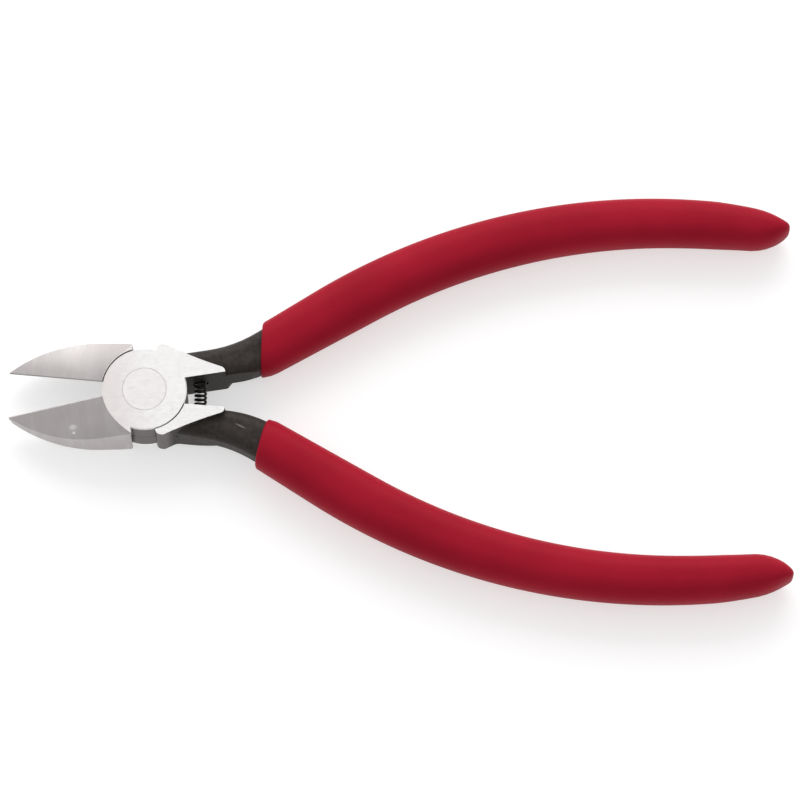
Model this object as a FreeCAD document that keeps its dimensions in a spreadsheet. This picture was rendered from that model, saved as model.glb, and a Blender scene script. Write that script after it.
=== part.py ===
import FreeCAD, Part
import math
import os

# Spring-loaded diagonal cutting pliers with a riveted lap joint and dipped handles.
#
# Each half is drawn closed, with its cutting edge on the plane Y = 0, the jaw along -X and the
# handle along +X, and Z = 0 where the two joint discs meet. The front half has its handle on +Y.
# The rear half is the same plan mirrored in Y. The halves are then opened about the rivet and
# raised, so that the row's origin is on the rivet's axis at the rear face of the joint.

# Millimetres and degrees.
DIMENSIONS = {
    # joint
    "joint_thickness": 10.5,
    "disc_radius": 8.45,
    "disc_chamfer": 0.2,
    "disc_clearance": 0.1,
    "parting_gap": 0.04,
    "opening_angle": 9.3,
    "rivet_radius": 3.0,
    "rivet_head_radius": 4.37,
    "rivet_head_depth": 1.4,
    "rivet_clearance": 0.03,
    # jaw
    "jaw_length": 27.5,
    "jaw_tip_width": 0.25,
    "jaw_tip_angle": 45.0,
    "jaw_curve_radius": 27.8,
    "jaw_curve_turn": 40.0,
    "jaw_heel": 3.9,
    "jaw_heel_radius": 0.4,
    "throat": 8.4,
    "nose_slope": 15.6,
    "face_crown_radius": 31.0,
    "edge_gap": 0.02,
    "edge_bevel_width": 0.25,
    "edge_bevel_drop": 0.12,
    "knife_angle": 24.0,
    "back_slope_start": 6.0,
    "jaw_tip_back": 2.0,
    # shoulder: the bump beside the disc, and the ground wing on the front face
    "bump_x": 3.4,
    "bump_y": 7.4,
    "bump_rise": 0.75,
    "bump_rise_angle": 65.0,
    "bump_radius": 1.0,
    "bump_top": 0.39,
    "bump_foot_radius": 2.4,
    "wing_start_angle": 36.0,
    "wing_edge_radius": 75.0,
    "wing_edge_turn": 9.1,
    "wing_tip_radius": 1.1,
    "shoulder_height": 7.05,
    "shoulder_end": 20.0,
    "shoulder_inner_side": 0.3,
    "shoulder_end_inner_side": 3.2,
    "slot_start": 4.0,
    "slot_length": 26.0,
    "front_slot_half_width": 1.17,
    "rear_slot_half_width": 1.71,
    "rear_slot_taper": 5.3,
    "slot_lean": 0.6,
    # shoulder: the curved flank and the tip on the rear face
    "flank_x": 5.95,
    "flank_y": 8.25,
    "flank_angle": 31.1,
    "flank_radius": 8.0,
    "flank_lean": 20.0,
    "flank_turn": 55.0,
    "rear_tip_start": 16.2,
    "rear_tip_run": 2.4,
    # handle
    "handle_front": 5.0,
    "handle_angle": 23.6,
    "neck_radius": 25.0,
    "neck_inner_radius": 24.0,
    "neck_inner_turn": 26.4,
    "handle_half_thickness": 3.9,
    "handle_rounding": 2.4,
    # grip, walked from the front of its outer side, round its end and back along its inner side
    "grip_start_x": 25.3,
    "grip_start_y": 11.15,
    "grip_straight": 11.9,
    "grip_back_radius": 126.4,
    "grip_back_turn": 43.5,
    "grip_end_radius": 4.0,
    "grip_end_turn": 142.4,
    "grip_heel_radius": 5.9,
    "grip_heel_turn": 31.6,
    "grip_hollow_radius": 200.0,
    "grip_hollow_turn": 6.2,
    "grip_belly_radius": 117.3,
    "grip_belly_turn": 28.1,
    "grip_inner_straight": 23.1,
    "grip_mouth_radius": 8.0,
    "grip_mouth_turn": 20.0,
    "plastic_thickness": 1.2,
    "lip_rounding": 0.8,
    "lower_dip_lead": 1.5,
    # spring
    "spring_position": 11.0,
    "spring_half_length": 4.45,
    "spring_radius": 1.05,
    "spring_wire": 0.5,
    "spring_pitch": 0.86,
    "spring_pocket_radius": 1.55,
    "spring_end_gap": 0.05,
}

# How far a cutting tool reaches past the material that it cuts.
OVERRUN = 1.0
FAR_OVERRUN = 4.0
# Differences smaller than this, in millimetres, are rounding errors.
TINY = 1e-6

SHEET = "Dimensions"


def make_sheet(doc):
    sheet = doc.addObject("Spreadsheet::Sheet", SHEET)
    for row, (alias, value) in enumerate(DIMENSIONS.items(), start=1):
        sheet.set(f"A{row}", alias)
        sheet.set(f"B{row}", str(value))
        sheet.setAlias(f"B{row}", alias)
    doc.recompute()


def dim(alias):
    return float(FreeCAD.ActiveDocument.getObject(SHEET).get(alias))


def half_thickness():
    return dim("joint_thickness") / 2


def cosd(angle):
    return math.cos(math.radians(angle))


def sind(angle):
    return math.sin(math.radians(angle))


def tand(angle):
    return math.tan(math.radians(angle))


class Outline:
    """A closed outline walked as lines and tangent arcs. side = -1 mirrors it in Y."""

    def __init__(self, side, x, y, heading=0.0):
        self.side = side
        self.x = x
        self.y = y
        self.heading = heading
        self.first = (x, y)
        self.curves = []

    def point(self, x, y):
        return FreeCAD.Vector(x, self.side * y, 0)

    def to(self, x, y):
        self.curves.append(Part.LineSegment(self.point(self.x, self.y), self.point(x, y)))
        self.x = x
        self.y = y
        return self

    def line(self, length):
        return self.to(self.x + length * cosd(self.heading), self.y + length * sind(self.heading))

    def turn(self, radius, angle):
        """An arc tangent to the walk; a positive angle turns left, a negative one right."""
        hand = math.copysign(1.0, angle)
        centre_x = self.x - hand * radius * sind(self.heading)
        centre_y = self.y + hand * radius * cosd(self.heading)

        def at(heading):
            return centre_x + hand * radius * sind(heading), centre_y - hand * radius * cosd(heading)

        middle = at(self.heading + angle / 2)
        end = at(self.heading + angle)
        self.curves.append(Part.Arc(self.point(self.x, self.y), self.point(*middle), self.point(*end)))
        self.heading += angle
        self.x, self.y = end
        return self

    def close(self):
        self.to(*self.first)
        return self.curves


def frame(origin, x_axis, y_axis):
    normal = x_axis.cross(y_axis)
    return FreeCAD.Placement(origin, FreeCAD.Rotation(x_axis, y_axis, normal, "XYZ"))


def sketch(body, name, plane_role, curves, place=None):
    """A sketch held by one of the body's origin planes; place is where its own axes lie."""
    plane = next(item for item in body.Origin.OriginFeatures if item.Role == plane_role)
    drawing = body.newObject("Sketcher::SketchObject", name)
    drawing.AttachmentSupport = (plane, [""])
    drawing.MapMode = "FlatFace"
    if place is not None:
        drawing.AttachmentOffset = plane.Placement.inverse().multiply(place)
    drawing.addGeometry(curves, False)
    return drawing


def pad(body, name, profile, length, symmetric=False):
    feature = body.newObject("PartDesign::Pad", name)
    feature.Profile = profile
    feature.setExpression("Length", length)
    feature.SideType = "Symmetric" if symmetric else "One side"
    body.Document.recompute()
    return feature


def pocket(body, name, profile, length, symmetric=False):
    """A cut against the sketch's normal, or both ways, which must take material away."""
    before = body.Shape.Volume
    feature = body.newObject("PartDesign::Pocket", name)
    feature.Profile = profile
    feature.setExpression("Length", length)
    feature.SideType = "Symmetric" if symmetric else "One side"
    body.Document.recompute()
    if not feature.Shape.Volume < before - TINY:
        raise RuntimeError(f"{name} takes nothing away")
    return feature


def fillet(body, name, base, edges, radius):
    feature = body.newObject("PartDesign::Fillet", name)
    feature.Base = (base, edges)
    feature.setExpression("Radius", radius)
    body.Document.recompute()
    return feature


def revolve(body, name, profile):
    axis = next(item for item in body.Origin.OriginFeatures if item.Role == "Z_Axis")
    feature = body.newObject("PartDesign::Revolution", name)
    feature.Profile = profile
    feature.ReferenceAxis = (axis, [""])
    feature.Angle = 360
    body.Document.recompute()
    return feature


def polygon(points):
    corners = [FreeCAD.Vector(x, y, 0) for x, y in points]
    return [Part.LineSegment(a, b) for a, b in zip(corners, corners[1:] + corners[:1])]


# ---------------------------------------------------------------- handles and grips


def walk_grip_part(outline, inset, lead):
    """The outer side, the end and the inner side of a handle, inset from the plastic's skin."""
    outline.line(dim("grip_straight") + lead)
    outline.turn(dim("grip_back_radius") - inset, -dim("grip_back_turn"))
    outline.turn(dim("grip_end_radius") - inset, -dim("grip_end_turn"))
    outline.turn(dim("grip_heel_radius") - inset, -dim("grip_heel_turn"))
    outline.turn(dim("grip_hollow_radius") + inset, dim("grip_hollow_turn"))
    outline.turn(dim("grip_belly_radius") + inset, dim("grip_belly_turn"))
    outline.line(dim("grip_inner_straight"))


def grip_outline(side, lead):
    angle = dim("handle_angle")
    start_x = dim("grip_start_x") - lead * cosd(angle)
    start_y = dim("grip_start_y") - lead * sind(angle)
    outline = Outline(side, start_x, start_y, angle)
    walk_grip_part(outline, 0.0, lead)
    outline.turn(dim("grip_mouth_radius"), -dim("grip_mouth_turn"))
    return outline.close()


def handle_outline(side):
    """The forged steel: a level shoulder, a neck that swings outwards, then the gripped part."""
    angle = dim("handle_angle")
    inset = dim("plastic_thickness")
    neck = dim("neck_radius")
    front = dim("handle_front")
    level = dim("shoulder_height")
    grip_x = dim("grip_start_x") + inset * sind(angle)
    grip_y = dim("grip_start_y") - inset * cosd(angle)
    run = (grip_y - level - neck * (1 - cosd(angle))) / sind(angle)
    outline = Outline(side, front, level)
    outline.line(grip_x - run * cosd(angle) - neck * sind(angle) - front)
    outline.turn(neck, angle)
    outline.line(run)
    walk_grip_part(outline, inset, 0.0)
    outline.turn(dim("neck_inner_radius"), -dim("neck_inner_turn"))
    outline.line((outline.x - front) / -cosd(outline.heading))
    return outline.close()


def rounded_bar(doc, name, curves, half_height, rounding, front_x):
    """A bar with the given plan, symmetric about Z = 0. Its long edges are rounded from front_x on."""
    body = doc.addObject("PartDesign::Body", name)
    plan = sketch(body, f"{name}_plan", "XY_Plane", curves)
    bar = pad(body, f"{name}_bar", plan, f"2 * ({half_height})", symmetric=True)
    top = bar.Shape.BoundBox.ZMax
    edges = []
    for number, edge in enumerate(bar.Shape.Edges, start=1):
        box = edge.BoundBox
        along_a_face = box.ZLength < TINY and abs(abs(box.ZMax) - top) < TINY
        if along_a_face and box.XMax > front_x:
            edges.append(f"Edge{number}")
    fillet(body, f"{name}_rounding", bar, edges, rounding)
    return body


def handle_steel(doc, name, side):
    half_height = f"{SHEET}.handle_half_thickness"
    rounding = f"{SHEET}.handle_rounding"
    return rounded_bar(doc, name, handle_outline(side), half_height, rounding, dim("handle_front") + OVERRUN)


def grip_skin(doc, name, side, lead):
    """The outside of the dipped plastic, with a soft lip round its open end."""
    half_height = f"{SHEET}.handle_half_thickness + {SHEET}.plastic_thickness"
    rounding = f"{SHEET}.handle_rounding + {SHEET}.plastic_thickness"
    mouth_depth = 0.3
    front_x = dim("grip_start_x") + mouth_depth
    body = rounded_bar(doc, name, grip_outline(side, lead), half_height, rounding, front_x)
    bar = body.Tip
    front_face = min(bar.Shape.Faces, key=lambda face: face.CenterOfMass.x)
    rim = []
    for number, edge in enumerate(bar.Shape.Edges, start=1):
        if any(edge.isSame(other) for other in front_face.Edges):
            rim.append(f"Edge{number}")
    fillet(body, f"{name}_lip", bar, rim, f"{SHEET}.lip_rounding")
    return body


# ---------------------------------------------------------------- jaw, shoulder and disc


def jaw_body(doc, name, side):
    """A jaw blank, then its crowned sloping face, its knife edge and its sloping back."""
    body = doc.addObject("PartDesign::Body", name)
    blank = Outline(-side, -dim("jaw_length"), dim("jaw_tip_width"), dim("jaw_tip_angle"))
    blank.turn(dim("jaw_curve_radius"), -dim("jaw_curve_turn"))
    heel_turn = -90 - blank.heading
    heel_reach = dim("jaw_heel_radius") * (1 + sind(blank.heading))
    blank.line((-dim("jaw_heel") - heel_reach - blank.x) / cosd(blank.heading))
    blank.turn(dim("jaw_heel_radius"), heel_turn)
    blank.to(blank.x, -OVERRUN)
    blank.to(-dim("jaw_length"), -OVERRUN)
    plan = sketch(body, f"{name}_plan", "XY_Plane", blank.close())
    pad(body, f"{name}_blank", plan, f"{SHEET}.joint_thickness", symmetric=True)

    # The face and knife profile is square to the cutting edge. w runs from the edge into the jaw.
    crown = dim("face_crown_radius")
    gap = dim("edge_gap")
    bevel = dim("edge_bevel_width")
    drop = dim("edge_bevel_drop")
    # The profile reaches past the jaw's outer side, over its top and under its back.
    reach = 12.0
    over = 8.0
    depth = 14.0

    def crown_drop(w):
        return math.sqrt(crown**2 - w**2) - crown

    def corner(w, n):
        return FreeCAD.Vector(-side * w, n, 0)

    top_right = corner(-2 * OVERRUN, over)
    top_left = corner(reach, over)
    face_outer = corner(reach, crown_drop(reach))
    face_middle = corner(reach / 2, crown_drop(reach / 2))
    face_inner = corner(bevel, crown_drop(bevel))
    edge = corner(gap, -drop)
    knife_end = corner(gap + depth * tand(dim("knife_angle")), -drop - depth)
    bottom_right = corner(-2 * OVERRUN, -drop - depth)
    profile = [
        Part.LineSegment(top_right, top_left),
        Part.LineSegment(top_left, face_outer),
        Part.Arc(face_outer, face_middle, face_inner),
        Part.LineSegment(face_inner, edge),
        Part.LineSegment(edge, knife_end),
        Part.LineSegment(knife_end, bottom_right),
        Part.LineSegment(bottom_right, top_right),
    ]
    slope = dim("nose_slope")
    apex = FreeCAD.Vector(0, 0, half_thickness() + dim("throat") * tand(slope))
    place = frame(apex, FreeCAD.Vector(0, 1, 0), FreeCAD.Vector(-sind(slope), 0, cosd(slope)))
    face = sketch(body, f"{name}_face_profile", "YZ_Plane", profile, place)
    pocket(body, f"{name}_face", face, f"2 * {SHEET}.jaw_length")

    # The back slopes up to the tip.
    rear = -half_thickness()
    start = -dim("back_slope_start")
    beyond = -dim("jaw_length") - FAR_OVERRUN
    rise = (-dim("jaw_tip_back") - rear) / (dim("jaw_length") - dim("back_slope_start"))
    high = rear + rise * (start - beyond)
    wedge = polygon([(start, rear), (beyond, high), (beyond, rear - OVERRUN), (start, rear - OVERRUN)])
    back = sketch(body, f"{name}_back_profile", "XZ_Plane", wedge)
    pocket(body, f"{name}_back", back, f"2 * {SHEET}.jaw_length", symmetric=True)
    return body


def walk_bump(outline):
    """From beside the disc over the bump, on to the heading of the wing's slanting edge."""
    outline.line(dim("bump_rise"))
    outline.turn(dim("bump_radius"), -dim("bump_rise_angle"))
    outline.line(dim("bump_top"))
    outline.turn(dim("bump_radius"), -dim("wing_start_angle"))


def shoulder_outline(side):
    angle = dim("wing_start_angle")
    level = dim("shoulder_height")
    end = dim("shoulder_end")
    inner = dim("shoulder_inner_side")
    foot = dim("bump_foot_radius")
    outline = Outline(side, dim("bump_x"), dim("bump_y"), dim("bump_rise_angle"))
    walk_bump(outline)
    outline.line((outline.y - level - foot * (1 - cosd(angle))) / sind(angle))
    outline.turn(foot, angle)
    outline.to(end, level)
    outline.to(end, dim("shoulder_end_inner_side"))
    outline.to(dim("rear_tip_start"), inner)
    outline.to(dim("slot_start"), inner)
    return outline.close()


def outside_wing(side):
    """What is forged away on the front face: all that lies beyond the wing's edge and its round tip."""
    angle = dim("wing_start_angle")
    corner = Outline(side, dim("bump_x"), dim("bump_y"), dim("bump_rise_angle"))
    walk_bump(corner)
    lead = 2 * OVERRUN
    outline = Outline(side, corner.x - lead * cosd(angle), corner.y + lead * sind(angle), -angle)
    outline.line(lead)
    outline.turn(dim("wing_edge_radius"), dim("wing_edge_turn"))
    outline.turn(dim("wing_tip_radius"), -90 - outline.heading)
    far = dim("shoulder_end") + FAR_OVERRUN
    outline.to(outline.x, -OVERRUN)
    outline.to(far, -OVERRUN)
    outline.to(far, outline.first[1] + OVERRUN)
    outline.to(outline.first[0], outline.first[1] + OVERRUN)
    return outline.close()


def rear_flank_profile():
    """The curve of the flank square to its slanting edge: u runs outwards from it."""
    rear = -half_thickness()
    radius = dim("flank_radius")
    lean = dim("flank_lean")
    end = lean + dim("flank_turn")
    centre_u = -radius * sind(lean)
    centre_z = rear + radius * cosd(lean)

    def on_flank(angle):
        return FreeCAD.Vector(centre_u + radius * sind(angle), centre_z - radius * cosd(angle), 0)

    start = on_flank(lean)
    far = on_flank(end)
    reach = dim("shoulder_end")
    far_level = FreeCAD.Vector(reach, far.y, 0)
    far_bottom = FreeCAD.Vector(reach, rear - OVERRUN, 0)
    near_bottom = FreeCAD.Vector(start.x, rear - OVERRUN, 0)
    return [
        Part.Arc(start, on_flank((lean + end) / 2), far),
        Part.LineSegment(far, far_level),
        Part.LineSegment(far_level, far_bottom),
        Part.LineSegment(far_bottom, near_bottom),
        Part.LineSegment(near_bottom, start),
    ]


def shoulder_body(doc, name, side):
    """The shoulder behind the disc. On the front face it is a ground flat with a pointed wing."""
    body = doc.addObject("PartDesign::Body", name)
    half = half_thickness()
    plan = sketch(body, f"{name}_plan", "XY_Plane", shoulder_outline(side))
    pad(body, f"{name}_block", plan, f"{SHEET}.joint_thickness", symmetric=True)

    at_front = frame(FreeCAD.Vector(0, 0, half), FreeCAD.Vector(1, 0, 0), FreeCAD.Vector(0, 1, 0))
    wing = sketch(body, f"{name}_wing_outline", "XY_Plane", outside_wing(side), at_front)
    pocket(body, f"{name}_wing", wing, f"{SHEET}.joint_thickness / 2")

    angle = dim("flank_angle")
    on_edge = FreeCAD.Vector(dim("flank_x"), side * dim("flank_y"), 0)
    outward = FreeCAD.Vector(sind(angle), side * cosd(angle), 0)
    across = frame(on_edge, outward, FreeCAD.Vector(0, 0, 1))
    flank = sketch(body, f"{name}_flank_profile", "XZ_Plane", rear_flank_profile(), across)
    pocket(body, f"{name}_flank", flank, f"2 * {SHEET}.slot_length", symmetric=True)

    # The rear face ends in a slope down to the neck.
    tip = dim("rear_tip_start")
    neck = dim("handle_half_thickness")
    far = dim("shoulder_end") + FAR_OVERRUN
    corners = [
        (tip, -half),
        (tip + dim("rear_tip_run"), -neck),
        (far, OVERRUN - neck),
        (far, -half - OVERRUN),
        (tip, -half - OVERRUN),
    ]
    slope = sketch(body, f"{name}_tip_profile", "XZ_Plane", polygon(corners))
    pocket(body, f"{name}_tip", slope, f"2 * {SHEET}.slot_length", symmetric=True)
    return body


def slot_body(doc, name, side, half_width, taper):
    """What is milled away between the handles. Its wall leans, and may turn in about the disc's rim."""
    body = doc.addObject("PartDesign::Body", name)
    top = half_thickness() + OVERRUN
    wide = side * half_width
    narrow = side * (half_width - dim("slot_lean"))
    beyond = -3.0 * side
    corners = [(wide, top), (narrow, -top), (beyond, -top), (beyond, top)]
    start = FreeCAD.Vector(dim("slot_start"), 0, 0)
    place = frame(start, FreeCAD.Vector(0, 1, 0), FreeCAD.Vector(0, 0, 1))
    profile = sketch(body, f"{name}_profile", "YZ_Plane", polygon(corners), place)
    pad(body, f"{name}_block", profile, f"{SHEET}.slot_length")
    rim = FreeCAD.Vector(math.sqrt(dim("disc_radius") ** 2 - half_width**2), wide, 0)
    turn = FreeCAD.Rotation(FreeCAD.Vector(0, 0, 1), -side * taper)
    body.Placement = FreeCAD.Placement(FreeCAD.Vector(), turn, rim)
    return body


def disc_body(doc, name, level):
    """One half's joint disc, from the parting plane to the face, chamfered round the face."""
    body = doc.addObject("PartDesign::Body", name)
    radius = dim("disc_radius")
    chamfer = dim("disc_chamfer")
    inner = level * dim("parting_gap") / 2
    outer = level * half_thickness()
    corners = [
        (0, inner),
        (radius, inner),
        (radius, outer - level * chamfer),
        (radius - chamfer, outer),
        (0, outer),
    ]
    profile = sketch(body, f"{name}_profile", "XZ_Plane", polygon(corners))
    revolve(body, f"{name}_turned", profile)
    return body


def rivet_body(doc, name, clearance, overrun):
    """A shank with a cone at each end. overrun carries the cones past the faces, for a hole."""
    body = doc.addObject("PartDesign::Body", name)
    shank = dim("rivet_radius") + clearance
    head = dim("rivet_head_radius") + clearance
    depth = dim("rivet_head_depth")
    half = half_thickness()
    flare = (head - shank) / depth * overrun
    corners = [
        (0, -half - overrun),
        (head + flare, -half - overrun),
        (shank, -half + depth),
        (shank, half - depth),
        (head + flare, half + overrun),
        (0, half + overrun),
    ]
    profile = sketch(body, f"{name}_profile", "XZ_Plane", polygon(corners))
    revolve(body, f"{name}_turned", profile)
    return body


def recess_tool(doc, name, level):
    """Room in one half for the other half's disc, on the far side of the parting plane."""
    tool = doc.addObject("Part::Cylinder", name)
    tool.setExpression("Radius", f"{SHEET}.disc_radius + {SHEET}.disc_clearance")
    tool.setExpression("Height", f"{SHEET}.joint_thickness")
    base = level * dim("parting_gap") / 2
    if level > 0:
        base -= dim("joint_thickness")
    tool.Placement.Base = FreeCAD.Vector(0, 0, base)
    return tool


def spring_pocket_tool(doc, name, side):
    """A blind drilling square to the plane midway between the open handles."""
    tool = doc.addObject("Part::Cylinder", name)
    tool.setExpression("Radius", f"{SHEET}.spring_pocket_radius")
    tool.setExpression("Height", f"{SHEET}.spring_half_length")
    angle = dim("opening_angle")
    place = dim("spring_position")
    start = FreeCAD.Vector(place * cosd(angle), -side * place * sind(angle), 0)
    direction = FreeCAD.Vector(sind(angle), side * cosd(angle), 0)
    tool.Placement = FreeCAD.Placement(start, FreeCAD.Rotation(FreeCAD.Vector(0, 0, 1), direction))
    return tool


# ---------------------------------------------------------------- the six pieces


def fuse(doc, name, shapes):
    joined = doc.addObject("Part::MultiFuse", name)
    joined.Shapes = shapes
    joined.Refine = True
    return joined


def cut(doc, name, base, tools):
    removed = tools[0]
    if len(tools) > 1:
        removed = fuse(doc, f"{name}_tools", tools)
    result = doc.addObject("Part::Cut", name)
    result.Base = base
    result.Tool = removed
    result.Refine = True
    return result


def open_up(piece, side):
    turn = FreeCAD.Rotation(FreeCAD.Vector(0, 0, 1), side * dim("opening_angle"))
    piece.Placement = FreeCAD.Placement(FreeCAD.Vector(0, 0, half_thickness()), turn)


def make_half(doc, label, side, level, rivet_clearance, slot_half_width, slot_taper):
    handle = handle_steel(doc, f"{label}_handle", side)
    shoulder = shoulder_body(doc, f"{label}_shoulder", side)
    jaw = jaw_body(doc, f"{label}_jaw", side)
    forging = fuse(doc, f"{label}_forging", [handle, shoulder, jaw])
    recess = recess_tool(doc, f"{label}_recess", level)
    slot = slot_body(doc, f"{label}_slot", side, slot_half_width, slot_taper)
    milled = cut(doc, f"{label}_milled", forging, [recess, slot])
    disc = disc_body(doc, f"{label}_disc", level)
    joined = fuse(doc, f"{label}_joined", [milled, disc])
    hole = rivet_body(doc, f"{label}_rivet_hole", rivet_clearance, OVERRUN)
    drilling = spring_pocket_tool(doc, f"{label}_spring_pocket", side)
    half = cut(doc, label, joined, [hole, drilling])
    half.Label = label
    open_up(half, side)
    return half


def make_grip(doc, label, side, lead):
    skin = grip_skin(doc, f"{label}_skin", side, lead)
    core = handle_steel(doc, f"{label}_core", side)
    grip = cut(doc, label, skin, [core])
    grip.Label = label
    open_up(grip, side)
    return grip


def make_rivet(doc):
    rivet = rivet_body(doc, "pivot_rivet", 0.0, 0.0)
    rivet.Label = "pivot_rivet"
    rivet.Placement.Base = FreeCAD.Vector(0, 0, half_thickness())
    return rivet


def make_spring(doc):
    """A round-wire compression spring along Y, between the floors of the two pockets."""
    length = f"2 * ({SHEET}.spring_half_length - {SHEET}.spring_end_gap) - {SHEET}.spring_wire"
    coil = doc.addObject("Part::Helix", "spring_coil")
    coil.setExpression("Radius", f"{SHEET}.spring_radius")
    coil.setExpression("Pitch", f"{SHEET}.spring_pitch")
    coil.setExpression("Height", length)
    wire = doc.addObject("Part::Circle", "spring_wire_section")
    wire.setExpression("Radius", f"{SHEET}.spring_wire / 2")
    wire.Placement = FreeCAD.Placement(
        FreeCAD.Vector(dim("spring_radius"), 0, 0), FreeCAD.Rotation(FreeCAD.Vector(1, 0, 0), 90)
    )
    spring = doc.addObject("Part::Sweep", "opening_spring")
    spring.Sections = [wire]
    spring.Spine = (coil, [])
    spring.Solid = True
    spring.Frenet = True
    spring.Label = "opening_spring"
    reach = dim("spring_half_length") - dim("spring_end_gap") - dim("spring_wire") / 2
    start = FreeCAD.Vector(dim("spring_position"), -reach, half_thickness())
    along_y = FreeCAD.Rotation(FreeCAD.Vector(1, 0, 0), -90)
    spring.Placement = FreeCAD.Placement(start, along_y)
    return spring


def check(doc, pieces):
    for item in doc.Objects:
        bad = [word for word in ("Invalid", "Error") if word in item.State]
        if bad:
            raise RuntimeError(f"{item.Name} is {bad}")
    for piece in pieces:
        shape = piece.Shape
        if shape.isNull() or not shape.isValid():
            raise RuntimeError(f"{piece.Label} has no valid shape")
        print(piece.Label, len(shape.Solids), "solid", round(shape.Volume, 1), "mm3")


def main():
    doc = FreeCAD.newDocument("diagonal_cutting_pliers")
    make_sheet(doc)
    pieces = [
        make_half(doc, "front_half", 1, 1, dim("rivet_clearance"), dim("front_slot_half_width"), 0.0),
        make_half(doc, "rear_half", -1, -1, 0.0, dim("rear_slot_half_width"), dim("rear_slot_taper")),
        make_rivet(doc),
        make_spring(doc),
        make_grip(doc, "upper_grip", 1, 0.0),
        make_grip(doc, "lower_grip", -1, dim("lower_dip_lead")),
    ]
    doc.recompute()
    check(doc, pieces)
    os.makedirs("parts", exist_ok=True)
    for piece in pieces:
        piece.Shape.exportStep(f"parts/{piece.Label}.step")


main()
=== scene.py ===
import math

import bmesh
import bpy
from mathutils import Matrix, Vector


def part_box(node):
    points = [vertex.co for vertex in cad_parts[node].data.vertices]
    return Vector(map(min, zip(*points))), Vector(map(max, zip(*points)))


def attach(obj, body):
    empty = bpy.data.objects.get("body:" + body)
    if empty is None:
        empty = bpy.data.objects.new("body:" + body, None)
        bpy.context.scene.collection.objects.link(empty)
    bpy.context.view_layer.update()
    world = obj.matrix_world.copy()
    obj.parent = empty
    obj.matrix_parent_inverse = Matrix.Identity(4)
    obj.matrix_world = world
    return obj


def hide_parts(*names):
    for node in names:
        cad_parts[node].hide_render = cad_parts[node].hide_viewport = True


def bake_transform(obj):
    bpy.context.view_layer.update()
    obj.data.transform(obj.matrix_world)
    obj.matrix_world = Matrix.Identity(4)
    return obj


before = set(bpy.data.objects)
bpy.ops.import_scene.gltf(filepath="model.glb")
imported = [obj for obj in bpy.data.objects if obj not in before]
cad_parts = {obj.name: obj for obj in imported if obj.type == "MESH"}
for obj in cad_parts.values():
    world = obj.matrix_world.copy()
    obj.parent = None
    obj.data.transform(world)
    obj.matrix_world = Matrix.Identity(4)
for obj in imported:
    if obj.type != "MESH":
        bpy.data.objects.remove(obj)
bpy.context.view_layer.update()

# Lengths in the tables and functions below are millimetres, and angles are degrees.
MM = 0.001
OPENING = 9.3
JOINT_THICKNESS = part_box("pivot_rivet")[1].z / MM
MID_Z = JOINT_THICKNESS / 2
UPPER = 1
LOWER = -1


# ---------------------------------------------------------------- camera, floor and light


def build_camera():
    """A long lens, tipped a little towards -Y from straight above, so that the near walls show."""
    elevation = math.radians(73.5)
    roll = math.radians(0.45)
    distance = 1.2
    view_width = 159.1 * MM
    target = Vector((50.65, -0.33, MID_Z)) * MM
    data = bpy.data.cameras.new("camera")
    data.sensor_width = 36.0
    data.lens = data.sensor_width * distance / view_width
    data.clip_start = 0.05
    data.clip_end = 10.0
    camera = bpy.data.objects.new("camera", data)
    bpy.context.scene.collection.objects.link(camera)
    back = Vector((0, -math.cos(elevation), math.sin(elevation)))
    right = Vector((1, 0, 0))
    up = back.cross(right)
    axes = Matrix((right, up, back)).transposed()
    turn = Matrix.Rotation(roll, 3, back)
    camera.matrix_world = Matrix.Translation(target + back * distance) @ (turn @ axes).to_4x4()
    bpy.context.scene.camera = camera


def area_light(name, place, target, width, height, power):
    data = bpy.data.lights.new(name, "AREA")
    data.shape = "RECTANGLE"
    data.size = width
    data.size_y = height
    data.energy = power
    light = bpy.data.objects.new(name, data)
    bpy.context.scene.collection.objects.link(light)
    light.location = place
    light.rotation_euler = (Vector(target) - Vector(place)).to_track_quat("-Z", "Y").to_euler()


def build_sky():
    """White all round, brighter on the +Y side, where the softbox is."""
    world = bpy.data.worlds.new("studio")
    world.use_nodes = True
    tree = world.node_tree
    background = tree.nodes["Background"]
    background.inputs["Color"].default_value = (1, 1, 1, 1)
    direction = tree.nodes.new("ShaderNodeTexCoord")
    parts = tree.nodes.new("ShaderNodeSeparateXYZ")
    strength = tree.nodes.new("ShaderNodeMapRange")
    strength.interpolation_type = "SMOOTHSTEP"
    ramp = {"From Min": -0.7, "From Max": 0.7, "To Min": 0.52, "To Max": 0.82}
    for key, value in ramp.items():
        strength.inputs[key].default_value = value
    tree.links.new(direction.outputs["Generated"], parts.inputs[0])
    tree.links.new(parts.outputs["Y"], strength.inputs["Value"])
    tree.links.new(strength.outputs["Result"], background.inputs["Strength"])
    bpy.context.scene.world = world


def build_floor():
    bpy.ops.mesh.primitive_plane_add(size=3.0, location=(0.05, 0, 0))
    floor = bpy.context.object
    floor.name = "floor"
    material = bpy.data.materials.new("floor")
    material.use_nodes = True
    shader = material.node_tree.nodes["Principled BSDF"]
    shader.inputs["Base Color"].default_value = (0.55, 0.55, 0.55, 1)
    shader.inputs["Roughness"].default_value = 0.9
    shader.inputs["Emission Color"].default_value = (1, 1, 1, 1)
    shader.inputs["Emission Strength"].default_value = 0.55
    floor.data.materials.append(material)


# ---------------------------------------------------------------- materials


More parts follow.
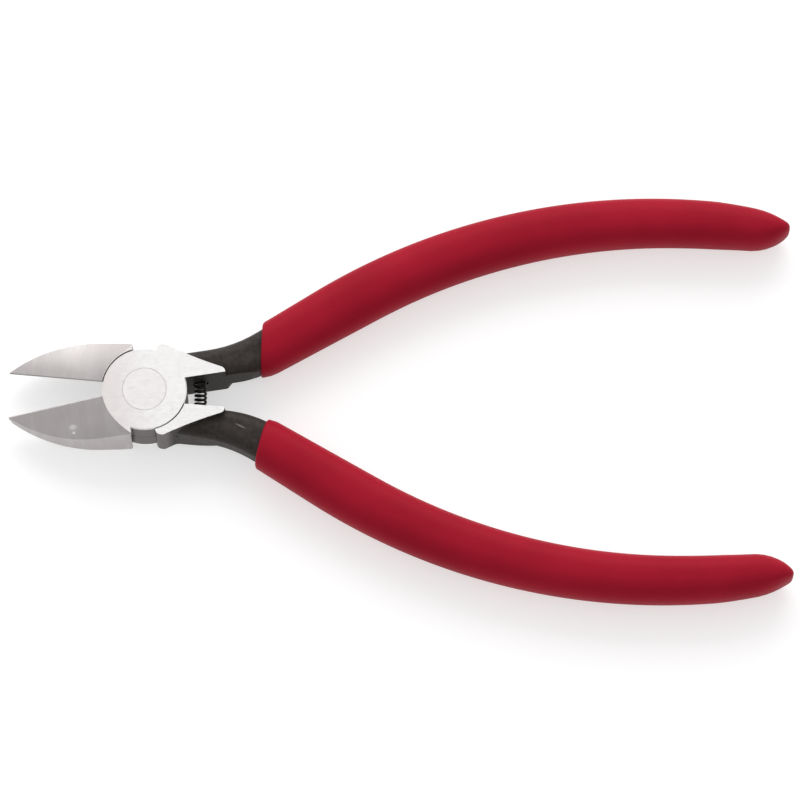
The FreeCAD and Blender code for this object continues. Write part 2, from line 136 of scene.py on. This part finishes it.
class Finish:
    """One material, with short ways to add nodes and join them."""

    def __init__(self, name):
        self.material = bpy.data.materials.new(name)
        self.material.use_nodes = True
        self.tree = self.material.node_tree
        self.surface = self.tree.nodes["Principled BSDF"]
        self.place = self.node("ShaderNodeTexCoord").outputs["Object"]
        self.normal = self.node("ShaderNodeNewGeometry").outputs["Normal"]

    def node(self, kind, **settings):
        added = self.tree.nodes.new(kind)
        for key, value in settings.items():
            setattr(added, key, value)
        return added

    def feed(self, socket, value):
        if isinstance(value, bpy.types.NodeSocket):
            self.tree.links.new(value, socket)
        else:
            socket.default_value = value

    def set(self, **values):
        for key, value in values.items():
            socket = key.replace("_", " ").title().replace("Ior", "IOR")
            self.feed(self.surface.inputs[socket], value)

    def maths(self, operation, first, second=0.0):
        added = self.node("ShaderNodeMath", operation=operation)
        self.feed(added.inputs[0], first)
        self.feed(added.inputs[1], second)
        return added.outputs[0]

    def times(self, *values):
        product = values[0]
        for value in values[1:]:
            product = self.maths("MULTIPLY", product, value)
        return product

    def either(self, first, second):
        return self.maths("MAXIMUM", first, second)

    def invert(self, value):
        return self.maths("SUBTRACT", 1.0, value)

    def step(self, value, low, high, to_low=0.0, to_high=1.0):
        """A smooth step from to_low, up to low, to to_high, from high on."""
        added = self.node("ShaderNodeMapRange", interpolation_type="SMOOTHSTEP")
        for key, number in (("Value", value), ("From Min", low), ("From Max", high)):
            self.feed(added.inputs[key], number)
        self.feed(added.inputs["To Min"], to_low)
        self.feed(added.inputs["To Max"], to_high)
        return added.outputs["Result"]

    def mix(self, factor, first, second):
        added = self.node("ShaderNodeMix", data_type="RGBA")
        self.feed(added.inputs["Factor"], factor)
        self.feed(added.inputs["A"], (*first, 1) if isinstance(first, tuple) else first)
        self.feed(added.inputs["B"], (*second, 1) if isinstance(second, tuple) else second)
        return added.outputs["Result"]

    def blend(self, factor, first, second):
        """A number between first and second."""
        added = self.node("ShaderNodeMix", data_type="FLOAT")
        self.feed(added.inputs["Factor"], factor)
        self.feed(added.inputs["A"], first)
        self.feed(added.inputs["B"], second)
        return added.outputs["Result"]

    def mapped(self, vector, scale, turn=0.0):
        added = self.node("ShaderNodeMapping")
        self.feed(added.inputs["Vector"], vector)
        added.inputs["Scale"].default_value = scale
        added.inputs["Rotation"].default_value = (0, 0, math.radians(turn))
        return added.outputs["Vector"]

    def noise(self, vector, scale, detail=2.0, roughness=0.5):
        """Noise of about 0.5, with `scale` blotches to a millimetre of vector."""
        added = self.node("ShaderNodeTexNoise")
        self.feed(added.inputs["Vector"], vector)
        added.inputs["Scale"].default_value = scale
        added.inputs["Detail"].default_value = detail
        added.inputs["Roughness"].default_value = roughness
        return added.outputs["Fac"]

    def split(self, vector):
        added = self.node("ShaderNodeSeparateXYZ")
        self.feed(added.inputs[0], vector)
        return added.outputs["X"], added.outputs["Y"], added.outputs["Z"]

    def edges(self, radius):
        """1 on edges and corners, 0 on open faces."""
        bevel = self.node("ShaderNodeBevel", samples=6)
        bevel.inputs["Radius"].default_value = radius * MM
        dot = self.node("ShaderNodeVectorMath", operation="DOT_PRODUCT")
        self.feed(dot.inputs[0], bevel.outputs["Normal"])
        self.feed(dot.inputs[1], self.normal)
        return self.step(self.invert(dot.outputs["Value"]), 0.01, 0.09)

    def size(self, vector):
        """The length of a vector."""
        added = self.node("ShaderNodeVectorMath", operation="LENGTH")
        self.feed(added.inputs[0], vector)
        return added.outputs["Value"]

    def bump(self, height, depth):
        """Relief, with height from 0 to 1 and depth in millimetres."""
        added = self.node("ShaderNodeBump")
        added.inputs["Strength"].default_value = 1.0
        added.inputs["Distance"].default_value = depth * MM
        self.feed(added.inputs["Height"], height)
        self.feed(self.surface.inputs["Normal"], added.outputs["Normal"])


# Steel colours, as the shader takes them: linear red, green and blue.
FACE_BRIGHT = (0.97, 0.955, 0.95)
FACE_BY_THE_JAWS = (0.84, 0.79, 0.785)
FACE_STAIN = (0.7, 0.67, 0.665)
FACE_SPECK = (0.45, 0.42, 0.41)
JAW_DARK = (0.5, 0.47, 0.465)
JAW_LIGHT = (0.55, 0.52, 0.515)
# Painted shade on the jaws.
JAW_PAINTED_SHADE = (0.33, 0.31, 0.305)
JAW_NICK = (0.95, 0.93, 0.92)
WALL_DARK = (0.105, 0.09, 0.086)
WALL_LIGHT = (0.165, 0.147, 0.142)
WALL_SEAM = (0.02, 0.017, 0.016)
OXIDE_DARK = (0.033, 0.0275, 0.025)
OXIDE_LIGHT = (0.053, 0.0455, 0.042)
OXIDE_RUBBED = (0.2, 0.18, 0.17)
OXIDE_SCRATCH = (0.17, 0.155, 0.15)
# Painted highlight along edges, partly bare worn steel.
BARE_EDGE_AND_HIGHLIGHT = (0.97, 0.96, 0.95)
RIVET_BRIGHT = (0.93, 0.9, 0.895)
RIVET_SEAM = (0.3, 0.28, 0.27)


class JointSteel(Finish):
    """What the halves and the rivet share: a frame of the part's own, in millimetres, and ground faces."""

    RELIEF_DEPTH = 0.006

    def __init__(self, name, side=UPPER, turn=0.0):
        super().__init__(name)
        self.side = side
        self.local = self.mapped(self.place, (1 / MM, side / MM, 1 / MM), turn)
        self.x, self.y, self.z = self.split(self.local)
        self.blotches = self.noise(self.local, 0.9, 5.0, 0.65)
        self.stains = self.step(self.blotches, 0.4, 0.8, 0.0, 0.3)
        self.grinding = self.noise(self.mapped(self.local, (0.5, 9.0, 0.5), 35.0), 1.0, 3.0)
        self.face_roughness = self.step(self.grinding, 0.2, 0.8, 0.28, 0.42)


class HalfSteel(JointSteel):
    """Polished faces, ground jaws, grey forged joint walls and black oxide on the neck."""

    # Along the closed tool, where the joint's walls end and where the next finish is whole.
    JAW_BORDER = (-3.6, -3.85)
    NECK_BORDER = (5.6, 7.2)
    OXIDE_METALLIC = 0.03
    OXIDE_SPECULAR = 0.06

    def __init__(self, name, side):
        super().__init__(name, side, -OPENING)
        self.grain = self.noise(self.local, 7.0, 3.0, 0.6)
        self.jaw_grinding = self.noise(self.mapped(self.local, (9.0, 0.5, 0.5)), 1.0, 2.0)
        # Edge mask: rubbed wear on the neck, and a painted highlight along the jaw and face edges.
        self.worn_and_lit_edges = self.edges(0.12)
        self.jaw = self.step(self.x, *self.JAW_BORDER)
        self.neck = self.step(self.x, *self.NECK_BORDER)
        self.polished = self.polished_zone()

    def polished_zone(self):
        """1 on both flat faces and on the chamfers round them."""
        up = self.maths("ABSOLUTE", self.split(self.normal)[2])
        depth = self.maths("MINIMUM", self.z, self.maths("SUBTRACT", JOINT_THICKNESS, self.z))
        flat = self.times(self.step(depth, 0.08, 0.03), self.step(up, 0.985, 0.997))
        slanting = self.times(self.step(up, 0.6, 0.68), self.step(up, 0.85, 0.75))
        return self.either(flat, self.times(self.step(depth, 0.25, 0.2), slanting))

    def face_colour(self):
        """Bright, a little duller towards the jaws, with stains and dark specks."""
        specks = self.step(self.noise(self.local, 2.6, 2.0), 0.72, 0.78)
        colour = self.mix(self.step(self.x, 3.0, -8.0), FACE_BRIGHT, FACE_BY_THE_JAWS)
        colour = self.mix(self.stains, colour, FACE_STAIN)
        return self.mix(self.times(specks, 0.35), colour, FACE_SPECK)

    def jaw_colour(self):
        """Duller, with long marks. It darkens towards the cutting edge, and on the rear half to the heel, as
        painted shade.
        """
        marks = self.noise(self.mapped(self.local, (0.7, 0.16, 0.16), 24.0), 1.0, 4.0, 0.55)
        patches = self.times(self.step(self.blotches, 0.5, 0.8), 0.7)
        colour = self.mix(self.either(self.step(marks, 0.4, 0.72), patches), JAW_DARK, JAW_LIGHT)
        # Painted shade: darker towards the cutting edge, and on the rear half towards the heel.
        painted_shade = self.step(self.maths("ABSOLUTE", self.y), 5.0, 1.0, 0.0, 0.35)
        if self.side == LOWER:
            painted_shade = self.either(painted_shade, self.step(self.x, -16.0, -6.0, 0.1, 0.8))
        colour = self.mix(painted_shade, colour, JAW_PAINTED_SHADE)
        if self.side == UPPER:
            rub = self.times(self.mark((-15.1, -5.0), turn=-9.0, length=2.3, width=1.5), 0.5)
            nick = self.times(self.mark((-15.1, -6.1), turn=0.0, length=0.9, width=0.8), 0.9)
            colour = self.mix(self.either(rub, nick), colour, JAW_NICK)
        return colour

    def wall_colour(self):
        """Grey forged steel, with a dark seam where the two halves' discs meet."""
        from_middle = self.maths("ABSOLUTE", self.maths("SUBTRACT", self.z, MID_Z))
        colour = self.mix(self.step(self.grain, 0.3, 0.7), WALL_DARK, WALL_LIGHT)
        return self.mix(self.step(from_middle, 0.4, 0.15, 0.0, 0.35), colour, WALL_SEAM)

    def neck_colour(self):
        """Black oxide, rubbed along its edges, with one scratch on the rear half."""
        colour = self.mix(self.step(self.blotches, 0.3, 0.75), OXIDE_DARK, OXIDE_LIGHT)
        colour = self.mix(self.times(self.worn_and_lit_edges, 0.3), colour, OXIDE_RUBBED)
        if self.side == LOWER:
            scratch = self.mark((20.0, 3.9), turn=16.0, length=3.2, width=0.5)
            colour = self.mix(scratch, colour, OXIDE_SCRATCH)
        return colour

    def mark(self, place, turn, length, width):
        """1 in the middle of one small oval mark, turned from X about Z, fading to 0 at its rim."""
        moved = self.node("ShaderNodeVectorMath", operation="SUBTRACT")
        self.feed(moved.inputs[0], self.local)
        moved.inputs[1].default_value = (*place, 0)
        turned = self.mapped(moved.outputs["Vector"], (1, 1, 0), -turn)
        return self.step(self.size(self.mapped(turned, (2 / length, 2 / width, 0))), 1.0, 0.2)

    def zoned(self, wall, neck, jaw, face):
        """Each zone's own number, with the jaw over the neck and the polished faces over both."""
        number = self.blend(self.neck, wall, neck)
        number = self.blend(self.jaw, number, jaw)
        return self.blend(self.polished, number, face)

    def build(self):
        colour = self.mix(self.neck, self.wall_colour(), self.neck_colour())
        colour = self.mix(self.jaw, colour, self.jaw_colour())
        colour = self.mix(self.polished, colour, self.face_colour())
        bright = self.either(self.jaw, self.polished)
        # Painted highlight along the edges of the jaws and polished faces, partly bare worn steel.
        colour = self.mix(self.times(bright, self.worn_and_lit_edges, 0.55), colour, BARE_EDGE_AND_HIGHLIGHT)
        oxide_roughness = self.step(self.grain, 0.2, 0.8, 0.36, 0.46)
        jaw_roughness = self.step(self.jaw_grinding, 0.2, 0.8, 0.44, 0.52)
        rough = self.zoned(0.42, oxide_roughness, jaw_roughness, self.face_roughness)
        metal = self.blend(self.times(self.neck, self.invert(bright)), 1.0, self.OXIDE_METALLIC)
        self.bump(self.zoned(self.grain, self.grain, self.jaw_grinding, self.grinding), self.RELIEF_DEPTH)
        self.set(base_color=colour, roughness=rough, metallic=metal, specular_ior_level=self.OXIDE_SPECULAR)
        return self.material


def rivet_finish():
    """Ground flush with the joint, with a dark hairline where it meets the half."""
    finish = JointSteel("rivet_steel")
    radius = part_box("pivot_rivet")[1].x / MM
    from_axis = finish.size(finish.mapped(finish.local, (1, 1, 0)))
    seam = finish.step(from_axis, radius - 0.16, radius - 0.05)
    dirt = finish.step(finish.blotches, 0.3, 0.6, 0.75, 0.35)
    colour = finish.mix(finish.stains, RIVET_BRIGHT, FACE_STAIN)
    colour = finish.mix(finish.times(seam, dirt), colour, RIVET_SEAM)
    finish.bump(finish.grinding, finish.RELIEF_DEPTH)
    finish.set(base_color=colour, roughness=finish.face_roughness, metallic=1.0)
    return finish.material


# The spring's and the grips' colours.
WIRE_BLACK = (0.012, 0.01, 0.009)
WIRE_RUBBED = (0.05, 0.045, 0.042)
RED_DARK = (0.305, 0.0078, 0.021)
RED_LIGHT = (0.35, 0.0095, 0.025)
RED_SCUFFED = (0.5, 0.05, 0.065)


def spring_finish():
    """Oil-blacked music wire, rubbed a little brighter in places."""
    finish = Finish("spring_wire")
    local = finish.mapped(finish.place, (1 / MM, 1 / MM, 1 / MM))
    rubbed = finish.step(finish.noise(local, 1.6, 3.0), 0.55, 0.75)
    colour = finish.mix(rubbed, WIRE_BLACK, WIRE_RUBBED)
    finish.bump(finish.noise(local, 9.0), 0.004)
    finish.set(base_color=colour, roughness=finish.blend(rubbed, 0.42, 0.32), metallic=0.3)
    return finish.material


def plastic_finish():
    """Dipped red plastic: a satin skin, faintly uneven, with fine scuffs."""
    finish = Finish("dipped_plastic")
    local = finish.mapped(finish.place, (1 / MM, 1 / MM, 1 / MM))
    cloud = finish.noise(local, 0.07, 3.0)
    ripple = finish.noise(local, 0.35, 2.0)
    peel = finish.noise(local, 2.4, 3.0)
    scuffs = finish.noise(finish.mapped(local, (0.35, 5.0, 5.0), 20.0), 1.0, 3.0)
    scuffed = finish.step(scuffs, 0.64, 0.74)
    colour = finish.mix(finish.step(cloud, 0.3, 0.7), RED_DARK, RED_LIGHT)
    colour = finish.mix(finish.times(scuffed, 0.12), colour, RED_SCUFFED)
    rough = finish.step(peel, 0.2, 0.8, 0.4, 0.5)
    rough = finish.blend(finish.times(scuffed, 0.6), rough, 0.55)
    relief = finish.maths("ADD", finish.times(ripple, 0.8), finish.times(peel, 0.2))
    finish.bump(relief, 0.04)
    finish.set(base_color=colour, roughness=rough, specular_ior_level=0.04)
    return finish.material


# ---------------------------------------------------------------- grips


def walk(start, heading, steps, spacing=0.25):
    """Points along a chain of tangent steps: (length, 0) is a line, (radius, turn) an arc, + to the left."""
    x, y = start
    points = [(x, y)]
    angle = math.radians(heading)
    for size, turn in steps:
        length = size if turn == 0 else size * abs(math.radians(turn))
        count = max(1, math.ceil(length / spacing))
        for _ in range(count):
            half_turn = math.radians(turn) / count / 2
            piece = length / count
            chord = piece if turn == 0 else piece * math.sin(abs(half_turn)) / abs(half_turn)
            angle += half_turn
            x += chord * math.cos(angle)
            y += chord * math.sin(angle)
            angle += half_turn
            points.append((x, y))
    return points, math.degrees(angle)


class LongSide:
    """One long side of a grip's plan, read by the fraction of its length."""

    def __init__(self, points):
        self.points = [Vector(point) for point in points]
        self.reach = [0.0]
        for a, b in zip(self.points, self.points[1:]):
            self.reach.append(self.reach[-1] + (b - a).length)
        self.length = self.reach[-1]

    def at(self, fraction):
        distance = min(max(fraction, 0.0), 1.0) * self.length
        for index in range(1, len(self.reach)):
            if self.reach[index] >= distance:
                span = self.reach[index] - self.reach[index - 1]
                part = (distance - self.reach[index - 1]) / span
                return self.points[index - 1].lerp(self.points[index], part)
        return self.points[-1].copy()


# The upper grip is drawn with the tool closed, like the CAD's halves, and the lower one is its mirror image.
GRIP_START = (25.3, 11.15)
GRIP_HEADING = 23.53
GRIP_HALF_THICKNESS = 5.1
SECTION_POWER = 2.4
RING_POINTS = 48
LIP = 0.55
WALL = 1.3
# The end is rounded in height over its last 6.5. Over its last 16 it also slims by up to 12 % both ways
# and leans towards the other grip.
END_ROUNDING = 6.5
END_TAPER = 16.0
END_SLIMMING = 0.12
END_LEAN = 0.35
# Rings stand evenly along the grip, and closer together at these distances from its end.
RING_SPACING = 1.5
END_STEPS = [5.0, 4.2, 3.5, 2.9, 2.35, 1.85, 1.4, 1.0, 0.7, 0.45, 0.25, 0.1]
LIP_STEPS = 5


def grip_sides(lead, mouth):
    """The outer side from the mouth to the tip of the end, and the inner side the same way."""
    angle = math.radians(GRIP_HEADING)
    start = (GRIP_START[0] - lead * math.cos(angle), GRIP_START[1] - lead * math.sin(angle))
    half_tip = (1.8, -48.8)
    outer_steps = [(12.14 + lead, 0), (126.2, -41.54), (14.0, -22.8), (1.76, 0), half_tip]
    inner_steps = [half_tip, (8.9, -55.6), (182.7, 5.24), (118.0, 29.1), (23.1, 0)]
    outer, heading = walk(start, GRIP_HEADING, outer_steps)
    inner, _ = walk(outer[-1], heading, inner_steps + mouth)
    return LongSide(outer), LongSide(inner[::-1])


def grip_ring(sides, distance, inset, end):
    """One section across the grip, `distance` from its mouth, `inset` under its skin."""
    outer, inner = sides
    fraction = distance / outer.length
    left = outer.at(fraction)
    right = inner.at(fraction)
    middle = (left + right) / 2
    across = (left - right) / 2
    taper = max(1 - (end - distance) / END_TAPER, 0.0)
    slimming = 1 - END_SLIMMING * taper
    half_width = max(across.length * slimming - inset, 0.0)
    to_end = min(max(end - distance, 0.0) / END_ROUNDING, 1.0)
    fullness = (1 - (1 - to_end) ** SECTION_POWER) ** (1 / SECTION_POWER)
    half_height = max(GRIP_HALF_THICKNESS * fullness * slimming - inset, 0.0)
    direction = across.normalized() if across.length > 0 else Vector((0, 1))
    middle -= direction * END_LEAN * taper**2
    ring = []
    for number in range(RING_POINTS):
        angle = 2 * math.pi * number / RING_POINTS
        c, s = math.cos(angle), math.sin(angle)
        u = math.copysign(abs(c) ** (2 / SECTION_POWER), c) * half_width
        w = math.copysign(abs(s) ** (2 / SECTION_POWER), s) * half_height
        point = middle + direction * u
        ring.append((point.x, point.y, MID_Z + w))
    return ring


def spread(start, end):
    """Places from start to end, without start, about RING_SPACING apart."""
    count = int(abs(end - start) / RING_SPACING)
    return [start + (end - start) * number / count for number in range(1, count + 1)]


def grip_rings(sides):
    """The rings from the deep end of the hollow, out over the lip and along the skin to the end."""
    length = sides[0].length
    hollow = [length - WALL - step for step in END_STEPS[::-1]]
    hollow += spread(hollow[-1], LIP)
    rings = [grip_ring(sides, distance, WALL, length) for distance in hollow]
    quarter = [math.pi / 2 * number / LIP_STEPS for number in range(LIP_STEPS + 1)]
    for angle in quarter:
        inset = WALL - (WALL - LIP) * math.sin(angle)
        rings.append(grip_ring(sides, LIP * (1 - math.sin(angle)), inset, length))
    for angle in quarter[1:]:
        rings.append(grip_ring(sides, LIP * (1 - math.cos(angle)), LIP * (1 - math.sin(angle)), length))
    skin = spread(LIP, length - END_STEPS[0])
    skin += [length - step for step in END_STEPS[1:]]
    rings += [grip_ring(sides, distance, 0.0, length) for distance in skin]
    return rings


def loft(name, rings, close_with):
    """Skins a list of equal rings. close_with holds the points that close its two ends."""
    mesh = bmesh.new()
    rows = [[mesh.verts.new(Vector(point) * MM) for point in ring] for ring in rings]
    size = len(rings[0])
    for row, following in zip(rows, rows[1:]):
        for number in range(size):
            ahead = (number + 1) % size
            mesh.faces.new((row[number], row[ahead], following[ahead], following[number]))
    first = mesh.verts.new(Vector(close_with[0]) * MM)
    last = mesh.verts.new(Vector(close_with[1]) * MM)
    for number in range(size):
        ahead = (number + 1) % size
        mesh.faces.new((first, rows[0][ahead], rows[0][number]))
        mesh.faces.new((last, rows[-1][number], rows[-1][ahead]))
    bmesh.ops.recalc_face_normals(mesh, faces=mesh.faces)
    data = bpy.data.meshes.new(name)
    mesh.to_mesh(data)
    mesh.free()
    data.polygons.foreach_set("use_smooth", [True] * len(data.polygons))
    piece = bpy.data.objects.new(name, data)
    bpy.context.scene.collection.objects.link(piece)
    return piece


def build_grip(name, node, body, side, lead, mouth, material):
    """One grip. Its outer side starts `lead` nearer the joint, and `mouth` ends its inner side there."""
    sides = grip_sides(lead, mouth)
    rings = grip_rings(sides)
    middles = [(Vector(ring[0]) + Vector(ring[RING_POINTS // 2])) / 2 for ring in (rings[0], rings[-1])]
    piece = loft(name, rings, middles)
    mirror = Matrix.Diagonal((1, side, 1, 1))
    piece.data.transform(Matrix.Rotation(math.radians(side * OPENING), 4, "Z") @ mirror)
    if side == LOWER:
        piece.data.flip_normals()
    piece.data.materials.append(material)
    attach(piece, body)
    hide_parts(node)


# ---------------------------------------------------------------- spring


def build_spring(material):
    """A compression spring along Y whose end turns are wound closed."""
    low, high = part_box("opening_spring")
    wire = 0.5
    centre_x = (low.x + high.x) / 2 / MM
    radius = (high.x - low.x) / 2 / MM - wire / 2
    length = (high.y - low.y) / MM - wire
    closed_turns = 1.0
    closed_pitch = wire * 1.04
    open_turns = 8.5
    open_pitch = (length - 2 * closed_turns * closed_pitch) / open_turns
    turns = open_turns + 2 * closed_turns
    steps_per_turn = 32
    wire_points = 12
    count = int(turns * steps_per_turn)

    def height(turn):
        """The wire's place along Y after so many turns, closed at first, then open, then closed."""
        first = min(turn, closed_turns) * closed_pitch
        second = min(max(turn - closed_turns, 0.0), open_turns) * open_pitch
        third = max(turn - closed_turns - open_turns, 0.0) * closed_pitch
        return first + second + third - length / 2

    def centre(turn):
        angle = 2 * math.pi * turn
        return Vector((centre_x + radius * math.cos(angle), height(turn), MID_Z + radius * math.sin(angle)))

    rings = []
    for number in range(count + 1):
        turn = turns * number / count
        angle = 2 * math.pi * turn
        outwards = Vector((math.cos(angle), 0, math.sin(angle)))
        along = (centre(turn + 0.005) - centre(turn - 0.005)).normalized()
        sideways = along.cross(outwards).normalized()
        ring = []
        for step in range(wire_points):
            roll = 2 * math.pi * step / wire_points
            offset = outwards * math.cos(roll) + sideways * math.sin(roll)
            ring.append(centre(turn) + offset * wire / 2)
        rings.append(ring)
    piece = loft("compression_spring", rings, (centre(0.0), centre(turns)))
    piece.data.materials.append(material)
    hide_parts("opening_spring")
    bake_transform(piece)


# ---------------------------------------------------------------- the object


def cover(node, material):
    """Gives a CAD piece its material."""
    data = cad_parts[node].data
    data.materials.clear()
    data.materials.append(material)


def build_tool():
    cover("front_half", HalfSteel("front_half_steel", UPPER).build())
    cover("rear_half", HalfSteel("rear_half_steel", LOWER).build())
    cover("pivot_rivet", rivet_finish())
    plastic = plastic_finish()
    upper_mouth = [(8.0, -20.0), (0.9, 0)]
    lower_mouth = [(3.4, -35.0)]
    build_grip("upper_dipped_grip", "upper_grip", "front", UPPER, 0.0, upper_mouth, plastic)
    build_grip("lower_dipped_grip", "lower_grip", "rear", LOWER, 1.5, lower_mouth, plastic)
    build_spring(spring_finish())


build_camera()
build_sky()
build_floor()
area_light("softbox", place=(0.05, 0.95, 0.65), target=(0.05, 0, 0), width=1.3, height=0.8, power=10.0)
bpy.context.scene.view_settings.view_transform = "Standard"
build_tool()
